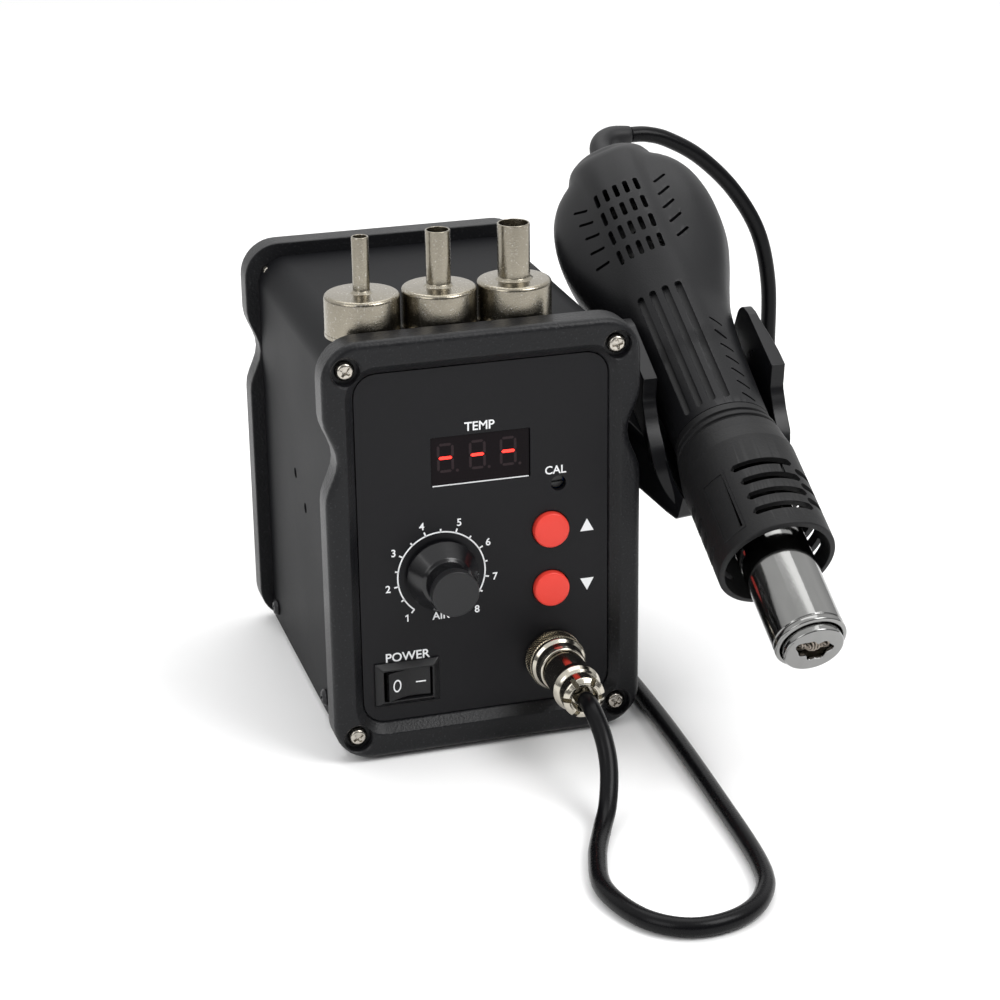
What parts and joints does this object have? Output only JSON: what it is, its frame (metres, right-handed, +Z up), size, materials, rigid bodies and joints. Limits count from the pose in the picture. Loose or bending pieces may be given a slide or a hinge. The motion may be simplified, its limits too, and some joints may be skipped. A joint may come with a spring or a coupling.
{
  "type": "hot air station",
  "caption": "Bench hot air rework station: black case with front panel controls and display, side holder with a corded blower handpiece, and slip-on nozzles.",
  "frame": {"origin": "on the bench, under the middle of the case, in the plane of its four feet", "axes": "+X to the right of someone facing the front panel, +Y to the back, +Z up"},
  "size_m": [0.1998, 0.4052, 0.1653],
  "materials": {
    "case_plastic": "fine grained, satin",
    "cover_paint": "satin powder coat",
    "chassis_steel": "zinc plated",
    "foot_rubber": "matt",
    "panel_print": "smooth printed overlay",
    "screw_nickel": "nickel plated",
    "screw_black": "black oxide",
    "display_filter": "gloss smoked filter",
    "display_black": "gloss",
    "board_green": "solder mask",
    "post_brass": "turned",
    "button_red": "satin",
    "knob_black": "gloss skirt, satin cap",
    "trimmer_blue": "gloss",
    "switch_black": "satin",
    "plug_nickel": "bright nickel",
    "plug_black": "gloss",
    "cord_black": "satin silicone",
    "core_iron": "laminated",
    "sink_alu": "extruded",
    "fuse_glass": "clear",
    "pin_brass": "tinned",
    "holder_plastic": "satin",
    "magnet": "nickel plated",
    "handle_plastic": "satin, fine grain",
    "relief_rubber": "matt",
    "shroud_plastic": "matt, glass filled",
    "tube_steel": "polished stainless",
    "core_mica": "mica and ceramic",
    "blower_plastic": "matt",
    "nozzle_nickel": "bright nickel"
  },
  "bodies": {
    "root": {"front_bezel": "case_plastic", "rear_bezel": "case_plastic", "top_cover": "cover_paint", "chassis": "chassis_steel", "rubber_feet": "foot_rubber", "front_panel": "panel_print", "rear_panel": "cover_paint", "front_screws": "screw_nickel", "rear_screws": "screw_nickel", "cover_screws": "screw_black", "display_window": "display_filter", "display_module": "display_black", "control_board": "board_green", "board_posts": "post_brass", "push_switches": "display_black", "air_pot": "magnet", "trimmer_body": "trimmer_blue", "switch_frame": "switch_black", "socket": "plug_nickel", "plug_body": "plug_black", "clamp_nut": "plug_nickel", "handset_cord": "cord_black", "transformer": "core_iron", "main_board": "board_green", "heat_sink": "sink_alu", "fuse": "fuse_glass", "mains_inlet": "switch_black", "inlet_pins": "pin_brass", "inlet_screws": "screw_nickel", "holder": "holder_plastic", "holder_screws": "screw_black", "holder_magnet": "magnet"},
    "knob": {"air_knob": "knob_black", "pot_shaft": "screw_nickel"},
    "up_key": {"up_button": "button_red"},
    "down_key": {"down_button": "button_red"},
    "trimmer": {"trimmer_screw": "knob_black"},
    "rocker": {"power_rocker": "switch_black"},
    "ring": {"lock_ring": "plug_nickel"},
    "handpiece": {"handle_top": "handle_plastic", "handle_bottom": "handle_plastic", "handle_screws": "screw_black", "cord_relief": "relief_rubber", "heater_shroud": "shroud_plastic", "heater_tube": "tube_steel", "heater_core": "core_mica", "heater_nose": "tube_steel", "blower_housing": "blower_plastic", "reed_switch": "fuse_glass"},
    "rotor": {"blower_rotor": "blower_plastic"},
    "nozzle_a": {"nozzle_small": "nozzle_nickel"},
    "nozzle_b": {"nozzle_medium": "nozzle_nickel"},
    "nozzle_c": {"nozzle_large": "nozzle_nickel"}
  },
  "joints": [
    {"name": "air_knob_turn", "type": "hinge", "parent": "root", "child": "knob", "pos_m": [-0.014, -0.063, 0.06], "axis": [0, 1, 0], "range_deg": [0, 280]},
    {"name": "up_press", "type": "slide", "parent": "root", "child": "up_key", "axis": [0, 1, 0], "range_m": [0, 0.001], "stiffness_N_per_m": 1200, "springref_m": -0.0003},
    {"name": "down_press", "type": "slide", "parent": "root", "child": "down_key", "axis": [0, 1, 0], "range_m": [0, 0.001], "stiffness_N_per_m": 1200, "springref_m": -0.0003},
    {"name": "trimmer_turn", "type": "hinge", "parent": "root", "child": "trimmer", "pos_m": [0.024, -0.05, 0.0855], "axis": [0, 1, 0], "range_deg": [0, 270]},
    {"name": "rocker_tilt", "type": "hinge", "parent": "root", "child": "rocker", "pos_m": [-0.026, -0.06, 0.0252], "axis": [0, 0, 1], "range_deg": [-18, 0]},
    {"name": "lock_ring_turn", "type": "hinge", "parent": "root", "child": "ring", "pos_m": [0.0215, -0.063, 0.0275], "axis": [0, -1, 0], "range_deg": [0, 540]},
    {"name": "handpiece_lift", "type": "slide", "parent": "root", "child": "handpiece", "axis": [0, -0.4695, 0.8829], "range_m": [0, 0.08]},
    {"name": "blower_spin", "type": "hinge", "parent": "handpiece", "child": "rotor", "pos_m": [0.08, 0.0225, 0.134], "axis": [-0.4384, -0.422, 0.7936], "continuous": true},
    {"name": "nozzle_small_lift", "type": "slide", "parent": "root", "child": "nozzle_a", "axis": [0, 0, 1], "range_m": [0, 0.05]},
    {"name": "nozzle_medium_lift", "type": "slide", "parent": "root", "child": "nozzle_b", "axis": [0, 0, 1], "range_m": [0, 0.05]},
    {"name": "nozzle_large_lift", "type": "slide", "parent": "root", "child": "nozzle_c", "axis": [0, 0, 1], "range_m": [0, 0.05]}
  ]
}
